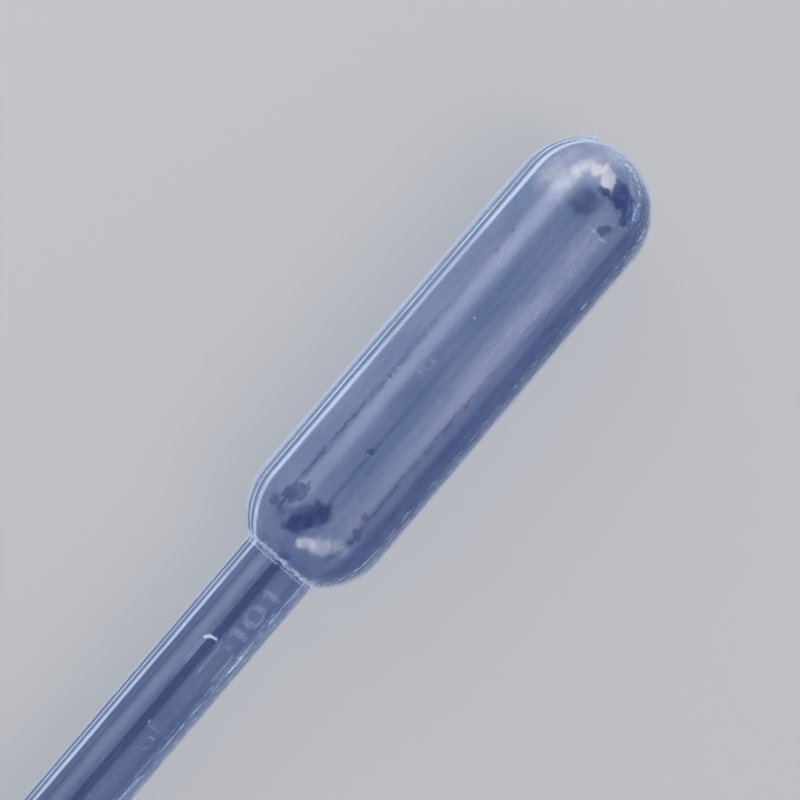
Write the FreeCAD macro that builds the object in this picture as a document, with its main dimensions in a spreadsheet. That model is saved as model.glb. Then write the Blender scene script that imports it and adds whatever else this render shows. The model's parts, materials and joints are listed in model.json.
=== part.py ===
"""Graduated dropper pipette, blow-moulded in one piece from natural low-density polyethylene.

A squeeze bulb runs into a straight stem, which necks down through a shoulder to a slender drawn tip.
In the pipette's own axes +Z runs from the mouth of the tip to the crown of the bulb, and the two
mould halves meet on the YZ plane, where a line of flash stands proud all the way round. Short
graduation ridges stand in the middle of both half-faces. The parison was pinched shut across the
crown, which leaves a weld bead inside it and a torn tail outside.
The finished piece lies on a bench at Z = 0, on its bulb and the low end of its straight stem, with
one half-face and its graduations upwards.
"""

import FreeCAD, Part

import os
from math import atan, pi, radians, sqrt

import Sketcher
from FreeCAD import Vector

NODE = "pipette"

# alias, value, what it is. Lengths in mm, angles in degrees, volumes in cubic mm.
SIZES = [
    ("bulb_diameter", 13.0, "outside diameter of the squeeze bulb"),
    ("bulb_length", 46.3, "from the end of the stem to the crown"),
    ("bulb_wall", 0.42, "wall of the bulb"),
    ("stem_diameter", 7.1, "outside diameter of the straight stem"),
    ("stem_length", 80.7, "straight stem, from the shoulder to the bulb"),
    ("stem_wall", 0.55, "wall of the stem"),
    ("shoulder_length", 8.0, "ogee from the stem down to the tip"),
    ("tip_length", 25.0, "drawn tip, from its mouth to the shoulder"),
    ("root_diameter", 3.4, "outside diameter of the tip at the shoulder"),
    ("root_wall", 0.5, "wall of the tip at the shoulder"),
    ("mouth_diameter", 2.8, "outside diameter of the tip at its mouth"),
    ("mouth_bore", 1.8, "bore of the mouth"),
    ("mouth_length", 6.0, "parallel stretch of the tip at its mouth"),
    ("neck_round", 0.35, "outside radius where the stem meets the bulb"),
    ("neck_bore_round", 0.9, "inside radius at the same place"),
    ("flash_height", 0.1, "how far the parting line stands proud"),
    ("flash_width", 0.22, "width of the parting line"),
    ("tick_volume", 500.0, "volume between two graduations"),
    ("tick_height", 0.14, "how far a graduation ridge stands proud"),
    ("tick_width", 0.5, "width of a graduation ridge along the stem"),
    ("tick_sweep", 40.0, "angle that a ridge covers in the middle of its half-face"),
    ("weld_thickness", 1.1, "thickness of the bead that the pinch-off leaves in the crown"),
    ("weld_depth", 0.75, "how deep that bead stands in from the outside of the crown"),
    ("weld_end_angle", 84.0, "where the bead fades out, measured from the crown"),
    ("tail_height", 0.35, "how far the torn tail stands out of the crown"),
    ("tail_span", 0.9, "length of the tail along the parting line"),
    ("tail_width", 0.3, "thickness of the tail"),
    ("tail_angle", 34.0, "where the tail stands and the bead begins, measured from the crown"),
]


# ---- The driving sizes, and what is worked out from them ----


def cell(alias):
    return f"Sizes.{alias}"


BULB_R = f"({cell('bulb_diameter')} / 2)"
STEM_R = f"({cell('stem_diameter')} / 2)"
ROOT_R = f"({cell('root_diameter')} / 2)"
MOUTH_R = f"({cell('mouth_diameter')} / 2)"
BULB_BORE_R = f"({BULB_R} - {cell('bulb_wall')})"
STEM_BORE_R = f"({STEM_R} - {cell('stem_wall')})"
ROOT_BORE_R = f"({ROOT_R} - {cell('root_wall')})"
MOUTH_BORE_R = f"({cell('mouth_bore')} / 2)"

# Heights along the pipette's own axis.
SHOULDER_Z = cell("tip_length")
STEM_Z = f"({SHOULDER_Z} + {cell('shoulder_length')})"
NECK_Z = f"({STEM_Z} + {cell('stem_length')})"
LOWER_DOME_Z = f"({NECK_Z} + sqrt({BULB_R}^2 - {STEM_R}^2))"
UPPER_DOME_Z = f"({NECK_Z} + {cell('bulb_length')} - {BULB_R})"


def cone_volume(low_radius, high_radius, height):
    squares = f"{low_radius}^2 + {low_radius} * {high_radius} + {high_radius}^2"
    return f"(pi / 3 * {height} * ({squares}))"


# A graduation stands where the bore below it holds a whole number of steps.
STEM_AREA = f"(pi * {STEM_BORE_R}^2)"
MOUTH_VOLUME = cone_volume(MOUTH_BORE_R, MOUTH_BORE_R, cell("mouth_length"))
TIP_VOLUME = cone_volume(MOUTH_BORE_R, ROOT_BORE_R, f"({SHOULDER_Z} - {cell('mouth_length')})")
SHOULDER_VOLUME = cone_volume(ROOT_BORE_R, STEM_BORE_R, cell("shoulder_length"))
VOLUME_BELOW_STEM = f"({MOUTH_VOLUME} + {TIP_VOLUME} + {SHOULDER_VOLUME})"
TICK_PITCH = f"({cell('tick_volume')} / {STEM_AREA})"
FIRST_TICK_Z = f"({STEM_Z} + ({cell('tick_volume')} - {VOLUME_BELOW_STEM}) / {STEM_AREA})"
TICK_COUNT = f"(floor(({NECK_Z} - {cell('tick_width')} - {FIRST_TICK_Z}) / {TICK_PITCH}) + 1)"


def lean_until(radius, height):
    """The lean at which an edge of this radius and height meets the bench that the bulb lies on."""
    run = f"({LOWER_DOME_Z} - {height})"
    return f"(asin({BULB_R} / sqrt({run}^2 + {radius}^2)) - atan({radius} / {run}))"


# The tip sinks until the first of its two low edges touches: the stem's low end, or the mouth's rim.
LEAN = f"min({lean_until(STEM_R, STEM_Z)}; {lean_until(MOUTH_R, '0')})"
REST_HEIGHT = f"({BULB_R} - {LOWER_DOME_Z} * sin({LEAN}))"
CROWN_REACH = f"({UPPER_DOME_Z} * cos({LEAN}) + {BULB_R} + {cell('flash_height')})"
REST_MIDDLE = f"(({CROWN_REACH} - {MOUTH_R} * sin({LEAN})) / 2)"


def fill_sheet(doc):
    """The driving dimensions, one row each: what it is, then its value."""
    sheet = doc.addObject("Spreadsheet::Sheet", "Sizes")
    for row, (alias, value, meaning) in enumerate(SIZES, start=1):
        sheet.set(f"A{row}", meaning)
        sheet.set(f"B{row}", str(value))
        sheet.setAlias(f"B{row}", alias)
    doc.recompute()


class Reader:
    """Works an expression out, so that a sketch is drawn close to where its constraints hold it."""

    def __init__(self, doc):
        self.probe = doc.addObject("App::FeaturePython", "Reader")
        self.probe.addProperty("App::PropertyFloat", "Result")

    def __call__(self, expression):
        self.probe.setExpression("Result", expression)
        self.probe.recompute()
        return self.probe.Result

    def close(self):
        self.probe.Document.removeObject(self.probe.Name)


# ---- Sketches ----

# The point numbers that a sketch constraint uses: a curve's two ends and its centre.
START, END, CENTRE = 1, 2, 3
ORIGIN = (-1, 1)
LEVEL_AXIS, UPRIGHT_AXIS = -1, -2


def origin_feature(body, role):
    return next(feature for feature in body.Origin.OriginFeatures if feature.Role == role)


class Drawing:
    """A sketch on an upright origin plane, raised along the axis and turned in its own plane."""

    def __init__(self, body, read, name, plane, height="0", turned="0"):
        self.read = read
        self.sketch = body.newObject("Sketcher::SketchObject", name)
        self.sketch.AttachmentSupport = [(origin_feature(body, plane), "")]
        self.sketch.MapMode = "FlatFace"
        place = f"placement(vector(0; {height}; 0); rotation(vector(0; 0; 1); {turned} * 1deg))"
        self.sketch.setExpression("AttachmentOffset", place)

    def line(self, start, end):
        return self.sketch.addGeometry(Part.LineSegment(Vector(*start), Vector(*end)), False)

    def arc(self, centre, radius, from_angle, to_angle):
        """An arc that runs anticlockwise; the angles are in radians."""
        circle = Part.Circle(Vector(*centre), Vector(0, 0, 1), radius)
        return self.sketch.addGeometry(Part.ArcOfCircle(circle, from_angle, to_angle), False)

    def fix(self, kind, *where):
        return self.sketch.addConstraint(Sketcher.Constraint(kind, *where))

    def drive(self, name, expression, kind, *where):
        """Adds a dimension and ties it to the sheet."""
        index = self.fix(kind, *where, self.read(expression))
        self.sketch.renameConstraint(index, name)
        self.sketch.setExpression(f"Constraints.{name}", expression)

    def join(self, chain):
        """Closes a chain of (curve, first point, last point, how it meets the next one)."""
        for (curve, _, last, meeting), (after, first, _, _) in zip(chain, chain[1:] + chain[:1]):
            self.fix(meeting, curve, last, after, first)


def draw_outline(drawing, radii, neck_round):
    """The half section from the mouth up over the bulb's crown and back down the axis.

    The skin, the flash and the bore all have it, each at radii of its own.
    """
    read = drawing.read
    mouth_r, root_r, stem_r, bulb_r = [read(radius) for radius in radii]
    mouth_z, shoulder_z, stem_z = [read(z) for z in (cell("mouth_length"), SHOULDER_Z, STEM_Z)]
    lower_z, upper_z, round_r = [read(each) for each in (LOWER_DOME_Z, UPPER_DOME_Z, neck_round)]

    step, rise = stem_r - root_r, stem_z - shoulder_z
    ogee_r = (step**2 + rise**2) / (4 * step)
    ogee_turn = 2 * atan(step / rise)
    round_z = lower_z - sqrt((bulb_r + round_r) ** 2 - (stem_r + round_r) ** 2)
    dome_turn = atan((lower_z - round_z) / (stem_r + round_r))

    mouth = drawing.line((0, 0), (mouth_r, 0))
    nozzle = drawing.line((mouth_r, 0), (mouth_r, mouth_z))
    taper = drawing.line((mouth_r, mouth_z), (root_r, shoulder_z))
    low_ogee = drawing.arc((root_r + ogee_r, shoulder_z), ogee_r, pi - ogee_turn, pi)
    high_ogee = drawing.arc((stem_r - ogee_r, stem_z), ogee_r, -ogee_turn, 0)
    stem = drawing.line((stem_r, stem_z), (stem_r, round_z))
    neck = drawing.arc((stem_r + round_r, round_z), round_r, pi - dome_turn, pi)
    lower_dome = drawing.arc((0, lower_z), bulb_r, -dome_turn, 0)
    bulb = drawing.line((bulb_r, lower_z), (bulb_r, upper_z))
    crown = drawing.arc((0, upper_z), bulb_r, 0, pi / 2)
    axis = drawing.line((0, upper_z + bulb_r), (0, 0))

    drawing.join([
        (mouth, START, END, "Coincident"),
        (nozzle, START, END, "Coincident"),
        (taper, START, END, "Tangent"),
        (low_ogee, END, START, "Tangent"),
        (high_ogee, START, END, "Tangent"),
        (stem, START, END, "Tangent"),
        (neck, END, START, "Tangent"),
        (lower_dome, START, END, "Tangent"),
        (bulb, START, END, "Tangent"),
        (crown, START, END, "Coincident"),
        (axis, START, END, "Coincident"),
    ])
    drawing.fix("Coincident", mouth, START, *ORIGIN)
    drawing.fix("Horizontal", mouth)
    for upright in (nozzle, stem, bulb):
        drawing.fix("Vertical", upright)
    for curve, point in ((lower_dome, CENTRE), (crown, CENTRE), (crown, END)):
        drawing.fix("PointOnObject", curve, point, UPRIGHT_AXIS)
    drawing.fix("Equal", low_ogee, high_ogee)

    names = ("mouth_radius", "root_radius", "stem_radius", "bulb_radius")
    for name, curve, radius in zip(names, (nozzle, taper, stem, bulb), radii):
        drawing.drive(name, radius, "DistanceX", *ORIGIN, curve, END)
    drawing.drive("neck_round", neck_round, "Radius", neck)
    heights = (
        ("mouth_height", nozzle, END, cell("mouth_length")),
        ("shoulder_height", taper, END, SHOULDER_Z),
        ("stem_height", stem, START, STEM_Z),
        ("lower_dome_height", lower_dome, CENTRE, LOWER_DOME_Z),
        ("upper_dome_height", crown, CENTRE, UPPER_DOME_Z),
    )
    for name, curve, point, height in heights:
        drawing.drive(name, height, "DistanceY", *ORIGIN, curve, point)


def bow_radius(chord, rise):
    """Radius of the arc that stands this high over a chord of this length."""
    return f"((({chord} / 2)^2 + {rise}^2) / (2 * {rise}))"


def draw_bow(drawing, chord, rise, foot_y):
    """An arc over a level chord, its crest on the sketch's upright axis. Gives back the arc."""
    chord_length, crest, foot = [drawing.read(each) for each in (chord, rise, foot_y)]
    radius = drawing.read(bow_radius(chord, rise))
    half_turn = 2 * atan(2 * crest / chord_length)
    centre = (0, foot + crest - radius)
    bow = drawing.arc(centre, radius, pi / 2 - half_turn, pi / 2 + half_turn)
    drawing.fix("PointOnObject", bow, CENTRE, UPRIGHT_AXIS)
    drawing.drive("bow_radius", bow_radius(chord, rise), "Radius", bow)
    return bow


def draw_tick(drawing):
    """Section of a graduation ridge, level with the sketch's origin: a bar with a rounded face.

    The foot of the bar stands inside the wall, and its face rises from the stem's surface.
    """
    width, height = cell("tick_width"), cell("tick_height")
    foot_radius = f"({STEM_R} - {cell('stem_wall')} / 2)"
    face_radius = bow_radius(width, height)
    foot_r, stem_r, half = [drawing.read(each) for each in (foot_radius, STEM_R, f"{width} / 2")]
    face_r, rise = drawing.read(face_radius), drawing.read(height)
    face_turn = 2 * atan(rise / half)

    low = drawing.line((foot_r, -half), (stem_r, -half))
    face = drawing.arc((stem_r + rise - face_r, 0), face_r, -face_turn, face_turn)
    high = drawing.line((stem_r, half), (foot_r, half))
    foot = drawing.line((foot_r, half), (foot_r, -half))
    drawing.join([(curve, START, END, "Coincident") for curve in (low, face, high, foot)])
    drawing.fix("Horizontal", low)
    drawing.fix("Horizontal", high)
    drawing.fix("Symmetric", foot, START, foot, END, LEVEL_AXIS)
    drawing.fix("Vertical", low, END, high, START)
    drawing.drive("foot_radius", foot_radius, "DistanceX", *ORIGIN, low, START)
    drawing.drive("stem_radius", STEM_R, "DistanceX", *ORIGIN, low, END)
    drawing.drive("width", width, "DistanceY", low, START, high, END)
    drawing.drive("face_radius", face_radius, "Radius", face)


def draw_tail(drawing):
    """Outline of the torn tail, its crest straight over the sketch's origin, its foot in the wall."""
    foot_y = f"({BULB_R} - {cell('bulb_wall')} / 2)"
    rise = f"({cell('tail_height')} + {cell('bulb_wall')} / 2)"
    half, foot_at = drawing.read(f"{cell('tail_span')} / 2"), drawing.read(foot_y)
    foot = drawing.line((-half, foot_at), (half, foot_at))
    bow = draw_bow(drawing, cell("tail_span"), rise, foot_y)
    drawing.join([(curve, START, END, "Coincident") for curve in (foot, bow)])
    drawing.fix("Horizontal", foot)
    drawing.drive("foot_height", foot_y, "DistanceY", *ORIGIN, foot, START)
    drawing.drive("span", cell("tail_span"), "DistanceX", foot, START, foot, END)


def draw_weld(drawing):
    """Outline of the weld bead: a crescent that fades out at both ends, its back in the wall.

    The sketch's origin is the middle of the upper dome, and its upright axis halves the bead.
    """
    back_radius = f"({BULB_R} - {cell('bulb_wall')} / 2)"
    half_sweep = f"(({cell('tail_angle')} + {cell('weld_end_angle')}) / 2 * 1deg)"
    chord = f"(2 * {back_radius} * sin({half_sweep}))"
    ends_y = f"({back_radius} * cos({half_sweep}))"
    rise = f"({BULB_R} - {cell('weld_depth')} - {ends_y})"
    back_r, half_turn = drawing.read(back_radius), radians(drawing.read(half_sweep))
    back = drawing.arc((0, 0), back_r, pi / 2 - half_turn, pi / 2 + half_turn)
    crest = draw_bow(drawing, chord, rise, ends_y)
    for end in (START, END):
        drawing.fix("Coincident", back, end, crest, end)
    drawing.fix("Coincident", back, CENTRE, *ORIGIN)
    drawing.drive("back_radius", back_radius, "Radius", back)
    drawing.drive("chord", chord, "DistanceX", back, END, back, START)


# ---- Features ----


def turn(body, kind, name, drawing, sweep="360"):
    """A Revolution or a Groove of a drawing about the pipette's axis."""
    feature = body.newObject(f"PartDesign::{kind}", name)
    feature.Profile = drawing.sketch
    feature.ReferenceAxis = (drawing.sketch, ["V_Axis"])
    feature.Midplane = True
    feature.setExpression("Angle", f"{sweep} * 1deg")
    return feature


def plate(body, name, drawing, thickness):
    """A Pad of a drawing on the parting plane, half its thickness on each side."""
    feature = body.newObject("PartDesign::Pad", name)
    feature.Profile = drawing.sketch
    feature.SideType = "Symmetric"
    feature.setExpression("Length", thickness)
    return feature


def add_skin(body, read):
    """The outside of the whole pipette, solid for now."""
    drawing = Drawing(body, read, "SkinSection", "XZ_Plane")
    draw_outline(drawing, (MOUTH_R, ROOT_R, STEM_R, BULB_R), cell("neck_round"))
    turn(body, "Revolution", "Skin", drawing)


def add_flash(body, read):
    """The parting line: a thin plate on the parting plane that stands a little out of the skin."""
    drawing = Drawing(body, read, "FlashSection", "YZ_Plane")
    radii = [f"({radius} + {cell('flash_height')})" for radius in (MOUTH_R, ROOT_R, STEM_R, BULB_R)]
    draw_outline(drawing, radii, cell("neck_round"))
    half = plate(body, "FlashHalf", drawing, cell("flash_width"))
    both = body.newObject("PartDesign::Mirrored", "Flash")
    both.Originals = [half]
    both.MirrorPlane = (origin_feature(body, "XZ_Plane"), [""])
    body.Tip = both


def add_graduations(body, read):
    """One ridge, mirrored to the other half-face, and the pair repeated up the stem."""
    drawing = Drawing(body, read, "TickSection", "XZ_Plane", height=FIRST_TICK_Z)
    draw_tick(drawing)
    tick = turn(body, "Revolution", "Tick", drawing, sweep=cell("tick_sweep"))
    graduations = body.newObject("PartDesign::MultiTransform", "Graduations")
    graduations.Originals = [tick]
    across = body.newObject("PartDesign::Mirrored", "TickAcross")
    across.MirrorPlane = (origin_feature(body, "YZ_Plane"), [""])
    along = body.newObject("PartDesign::LinearPattern", "TicksAlong")
    along.Direction = (origin_feature(body, "Z_Axis"), [""])
    along.setExpression("Occurrences", TICK_COUNT)
    along.setExpression("Length", f"({TICK_COUNT} - 1) * {TICK_PITCH}")
    graduations.Transformations = [across, along]
    body.Tip = graduations


def add_tail(body, read):
    drawing = Drawing(
        body, read, "TailOutline", "YZ_Plane", height=UPPER_DOME_Z, turned=f"-{cell('tail_angle')}"
    )
    draw_tail(drawing)
    plate(body, "Tail", drawing, cell("tail_width"))


def cut_bore(body, read):
    """Hollows the pipette from the mouth to the crown. Gives back the groove and what it cut."""
    drawing = Drawing(body, read, "BoreSection", "XZ_Plane")
    radii = (MOUTH_BORE_R, ROOT_BORE_R, STEM_BORE_R, BULB_BORE_R)
    draw_outline(drawing, radii, cell("neck_bore_round"))
    uncut = body.Tip
    return turn(body, "Groove", "Bore", drawing), uncut


def add_weld(body, read):
    """The bead that the pinched parison leaves inside the crown, more on one side than the other."""
    off_middle = f"(({cell('weld_end_angle')} - {cell('tail_angle')}) / 2)"
    drawing = Drawing(body, read, "WeldOutline", "YZ_Plane", height=UPPER_DOME_Z, turned=off_middle)
    draw_weld(drawing)
    plate(body, "Weld", drawing, cell("weld_thickness"))


def lay_down(body):
    """Lays the pipette along X, with its crown towards +X and one half-face looking up."""
    place = f"vector(-{REST_MIDDLE}; 0; {REST_HEIGHT})"
    lean = f"rotation(vector(0; 1; 0); 90deg - {LEAN})"
    body.setExpression("Placement", f"placement({place}; {lean})")


def check(doc, body, bore, uncut):
    failed = [each.Name for each in doc.Objects if {"Invalid", "Error"} & set(each.State)]
    if failed:
        raise RuntimeError(f"these features failed: {', '.join(failed)}")
    if body.Shape.isNull() or not body.Shape.isValid() or len(body.Shape.Solids) != 1:
        raise RuntimeError("the pipette isn't one sound solid")
    if not bore.Shape.Volume < uncut.Shape.Volume:
        raise RuntimeError("the bore cut nothing")


doc = FreeCAD.newDocument("dropper_pipette")
fill_sheet(doc)
read = Reader(doc)
pipette = doc.addObject("PartDesign::Body", NODE)
pipette.Label = NODE
add_skin(pipette, read)
add_flash(pipette, read)
add_graduations(pipette, read)
add_tail(pipette, read)
bore, uncut = cut_bore(pipette, read)
add_weld(pipette, read)
lay_down(pipette)
read.close()
doc.recompute()
check(doc, pipette, bore, uncut)

os.makedirs("parts", exist_ok=True)
pipette.Shape.exportStep(f"parts/{pipette.Label}.step")
print(f"{pipette.Label}: {pipette.Shape.Volume:.1f} mm3, {pipette.Shape.BoundBox}")
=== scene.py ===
import json
from math import atan, atan2, cos, exp, hypot, pi, radians, sin, sqrt, tan

import bmesh
import bpy
from mathutils import Matrix, Vector, noise


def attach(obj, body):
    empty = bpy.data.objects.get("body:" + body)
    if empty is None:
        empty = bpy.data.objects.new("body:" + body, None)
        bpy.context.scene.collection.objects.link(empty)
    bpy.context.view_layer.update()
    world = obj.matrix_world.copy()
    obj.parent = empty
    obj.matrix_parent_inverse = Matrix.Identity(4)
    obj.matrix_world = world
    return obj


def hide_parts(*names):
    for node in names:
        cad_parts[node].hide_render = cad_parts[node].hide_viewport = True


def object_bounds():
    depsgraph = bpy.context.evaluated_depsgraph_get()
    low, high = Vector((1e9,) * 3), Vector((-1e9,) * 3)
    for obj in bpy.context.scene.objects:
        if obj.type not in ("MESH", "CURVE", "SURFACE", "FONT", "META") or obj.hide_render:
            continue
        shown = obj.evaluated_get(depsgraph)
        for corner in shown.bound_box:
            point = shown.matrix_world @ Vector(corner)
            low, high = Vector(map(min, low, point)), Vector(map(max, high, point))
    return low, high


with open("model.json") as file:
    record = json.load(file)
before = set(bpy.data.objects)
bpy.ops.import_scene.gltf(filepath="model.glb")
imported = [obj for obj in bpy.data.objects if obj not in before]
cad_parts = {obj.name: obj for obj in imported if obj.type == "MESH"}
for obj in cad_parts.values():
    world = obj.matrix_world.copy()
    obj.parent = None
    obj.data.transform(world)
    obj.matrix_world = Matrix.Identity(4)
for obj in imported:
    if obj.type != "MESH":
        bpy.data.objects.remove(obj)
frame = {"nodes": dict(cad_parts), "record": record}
cad_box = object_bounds()


# ---- The pipette's own line ----
# The pipette is round about one line, from the mouth of the tip to the crown of the bulb. It lies on
# the bench on its bulb and the low end of its stem, so that line leans a little. The flash on its
# solid shows which way the mould's parting plane is turned.

MM = 0.001
mounts = {mount["name"]: mount for mount in frame["record"]["mounts"]}
mouth = Vector(mounts["tip_mouth"]["pos_m"])
to_crown = -Vector(mounts["tip_mouth"]["axis"]).normalized()
offsets = [vertex.co - mouth for vertex in frame["nodes"]["pipette"].data.vertices]
offsets = [off - to_crown * off.dot(to_crown) for off in offsets]
flash_reach = max(off.length for off in offsets if off.y > 0)
on_flash = [off for off in offsets if off.y > 0 and off.length > flash_reach - 0.02 * MM]
low_side = sum(on_flash, Vector()).cross(to_crown).normalized()
seam_side = to_crown.cross(low_side)
standing_to_lying = (
    Matrix.Translation(mouth)
    @ Matrix((low_side, seam_side, to_crown)).transposed().to_4x4()
    @ Matrix.Scale(MM, 4)
)


# ---- The shell: bulb, stem and tip ----
# One hollow piece of natural low-density polyethylene, blown from a drawn tube in a split mould. The
# wall is thin in the bulb and thicker in the stem, and only the mouth of the tip is cut. Sizes are in
# mm, and the shell is made standing on its mouth: x across the parting plane, y along it, z the height.

bulb_radius, bulb_wall = 6.5, 0.42
stem_radius, stem_wall = mounts["stem_shank"]["dims"]["r_mm"], 0.55
root_radius, root_wall = 1.7, 0.5
mouth_radius, mouth_bore = 1.4, mounts["tip_mouth"]["dims"]["r_mm"]
mouth_length = mounts["tip_mouth"]["dims"]["length_mm"]
tip_length, shoulder_length, stem_length = 25.0, 8.0, 80.7
neck_radius, neck_bore_radius = 0.35, 0.9
flash_height = 0.1

shoulder_z = tip_length
stem_z = shoulder_z + shoulder_length
neck_z = stem_z + stem_length
lower_dome_z = neck_z + sqrt(bulb_radius**2 - stem_radius**2)
upper_dome_z = ((cad_box[1].x - mouth.x) / MM - bulb_radius - flash_height) / to_crown.x
bulb_bore, stem_bore, root_bore = bulb_radius - bulb_wall, stem_radius - stem_wall, root_radius - root_wall

shell = bmesh.new()
inner_wall = shell.verts.layers.int.new("inner_wall")


def run_to(point, radius, height, steps=1):
    """A straight stretch of the outline, up to a radius and a height."""
    start = point.co.copy()
    for step in range(1, steps + 1):
        point = bmesh.ops.extrude_vert_indiv(shell, verts=[point])["verts"][0]
        point.co = start.lerp(Vector((radius, 0, height)), step / steps)
    return point


def swing(point, centre_radius, centre_height, angle, steps):
    """A round stretch: the point swings about a centre, towards the crown if the angle is positive."""
    swung = bmesh.ops.spin(
        shell, geom=[point], cent=(centre_radius, 0, centre_height), axis=(0, -1, 0), angle=angle, steps=steps
    )
    return next(part for part in swung["geom_last"] if isinstance(part, bmesh.types.BMVert))


def ogee(point, radius, height, to_radius, to_height, steps):
    """Two equal arcs, which leave and arrive in line with the pipette."""
    half_rise, half_step = abs(to_height - height) / 2, (to_radius - radius) / 2
    bow = (half_rise**2 + half_step**2) / (2 * half_step)
    angle = 2 * atan(abs(half_step) / half_rise)
    point = swing(point, radius + bow, height, -angle, steps)
    return swing(point, to_radius - bow, to_height, angle, steps)


def neck_round(dome_radius, low_radius, round_radius):
    """The round between stem and lower dome: its height, and the angle at which it meets the dome."""
    reach = low_radius + round_radius
    drop = sqrt((dome_radius + round_radius) ** 2 - reach**2)
    return lower_dome_z - drop, atan2(drop, reach)


# the outside, from the crown down to the mouth
round_z, round_angle = neck_round(bulb_radius, stem_radius, neck_radius)
point = shell.verts.new((0, 0, upper_dome_z + bulb_radius))
point = swing(point, 0, upper_dome_z, -pi / 2, 26)
point = run_to(point, bulb_radius, lower_dome_z, 36)
point = swing(point, 0, lower_dome_z, -round_angle, 16)
point = swing(point, stem_radius + neck_radius, round_z, round_angle, 5)
point = run_to(point, stem_radius, stem_z, 50)
point = ogee(point, stem_radius, stem_z, root_radius, shoulder_z, 8)
point = run_to(point, mouth_radius, mouth_length, 9)
point = run_to(point, mouth_radius, 0, 4)
outside_points = len(shell.verts)

# the inside, from the mouth up to the crown
bore_round_z, bore_round_angle = neck_round(bulb_bore, stem_bore, neck_bore_radius)
point = run_to(point, mouth_bore, 0)
point = run_to(point, mouth_bore, mouth_length, 4)
point = run_to(point, root_bore, shoulder_z, 9)
point = ogee(point, root_bore, shoulder_z, stem_bore, stem_z, 7)
point = run_to(point, stem_bore, bore_round_z, 34)
point = swing(point, stem_bore + neck_bore_radius, bore_round_z, -bore_round_angle, 6)
point = swing(point, 0, lower_dome_z, bore_round_angle, 22)
point = run_to(point, bulb_bore, upper_dome_z, 56)
point = swing(point, 0, upper_dome_z, pi / 2, 32)
for number, point in enumerate(shell.verts):
    point[inner_wall] = int(number >= outside_points)

columns = 200
bmesh.ops.spin(
    shell, geom=shell.verts[:] + shell.edges[:], cent=(0, 0, 0), axis=(0, 0, 1), angle=2 * pi,
    steps=columns, use_merge=True,
)
bmesh.ops.remove_doubles(shell, verts=shell.verts[:], dist=0.0005)

# the columns crowd together at the parting plane, where the flash is fine work
crowding = 0.31
for vertex in shell.verts:
    radius, angle = hypot(vertex.co.x, vertex.co.y), atan2(vertex.co.y, vertex.co.x)
    angle += crowding * sin(2 * angle)
    vertex.co.x, vertex.co.y = radius * cos(angle), radius * sin(angle)


# ---- The graduations and figures in the mould ----
# Ridges stand where the bore holds another half millilitre, in the middle of both half-faces, and
# single-stroke figures stand below them on the upper one. They are cut in the mould, so they stand proud.

step_volume = 500.0
ridge_height, ridge_width, ridge_half_sweep = 0.14, 0.5, radians(20)
ridge_half_width = ridge_width / 2


def cone_volume(low, high, height):
    return pi / 3 * height * (low**2 + low * high + high**2)


below_stem = (
    cone_volume(mouth_bore, mouth_bore, mouth_length)
    + cone_volume(mouth_bore, root_bore, shoulder_z - mouth_length)
    + cone_volume(root_bore, stem_bore, stem_z - shoulder_z)
)


def filled_to(volume):
    """The height that this volume reaches in the stem."""
    return stem_z + (volume - below_stem) / (pi * stem_bore**2)


ridge_heights = []
while filled_to((len(ridge_heights) + 1) * step_volume) < neck_z - ridge_width:
    ridge_heights.append(filled_to((len(ridge_heights) + 1) * step_volume))


def smooth(value):
    """From 0 at 0 to 1 at 1, level at both ends."""
    value = max(0.0, min(1.0, value))
    return value * value * (3 - 2 * value)


def around(co):
    """The angle from the middle of the upper half-face, where the graduations stand, towards its right."""
    angle = atan2(co.y, co.x) - pi
    return angle + 2 * pi if angle < -pi else angle


def off_middle(co):
    """The angle from the middle of the nearer half-face."""
    return min(abs(around(co)), abs(abs(around(co)) - pi))


def straight(across, up, to_across, to_up):
    """The distance from any place to a straight stroke."""
    along = Vector((to_across - across, to_up - up))

    def distance(place):
        off = place - Vector((across, up))
        reach = max(0.0, min(1.0, off.dot(along) / max(along.length_squared, 1e-9)))
        return (off - along * reach).length
    return distance


def bowed(across, up, radius, start, end):
    """The distance from any place to a round stroke, from one angle to another, anticlockwise."""
    middle, half = radians(start + end) / 2, radians(end - start) / 2

    def distance(place):
        off = place - Vector((across, up))
        angle = (atan2(off.y, off.x) - middle + pi) % (2 * pi) - pi
        angle = middle + max(-half, min(half, angle))
        return hypot(off.x - radius * cos(angle), off.y - radius * sin(angle))
    return distance


# each mark's width and its strokes, in mm at full size
FIGURES = {
    "0": (1.0, [bowed(0.5, 1.35, 0.5, 0, 180), bowed(0.5, 0.5, 0.5, 180, 360),
                straight(0, 0.5, 0, 1.35), straight(1, 0.5, 1, 1.35)]),
    "1": (0.75, [straight(0.5, 0, 0.5, 1.85), straight(0.5, 1.85, 0.28, 1.62)]),
    "2": (1.0, [bowed(0.5, 1.35, 0.5, -35, 170), straight(0.91, 1.06, 0, 0), straight(0, 0, 1.0, 0)]),
    "5": (1.0, [bowed(0.42, 0.58, 0.58, -140, 110), straight(0.2, 1.1, 0.25, 1.85),
                straight(0.25, 1.85, 0.95, 1.85)]),
    ".": (0.0, [straight(0, 0, 0, 0.02)]),
    "m": (3.0, [straight(0, 0, 0, 2.5), bowed(0.75, 2.3, 0.75, 0, 180), straight(1.5, 0, 1.5, 2.3),
                bowed(2.25, 2.3, 0.75, 0, 180), straight(3.0, 0, 3.0, 2.3)]),
    "l": (0.0, [straight(0, 0, 0, 3.7)]),
}


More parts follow.
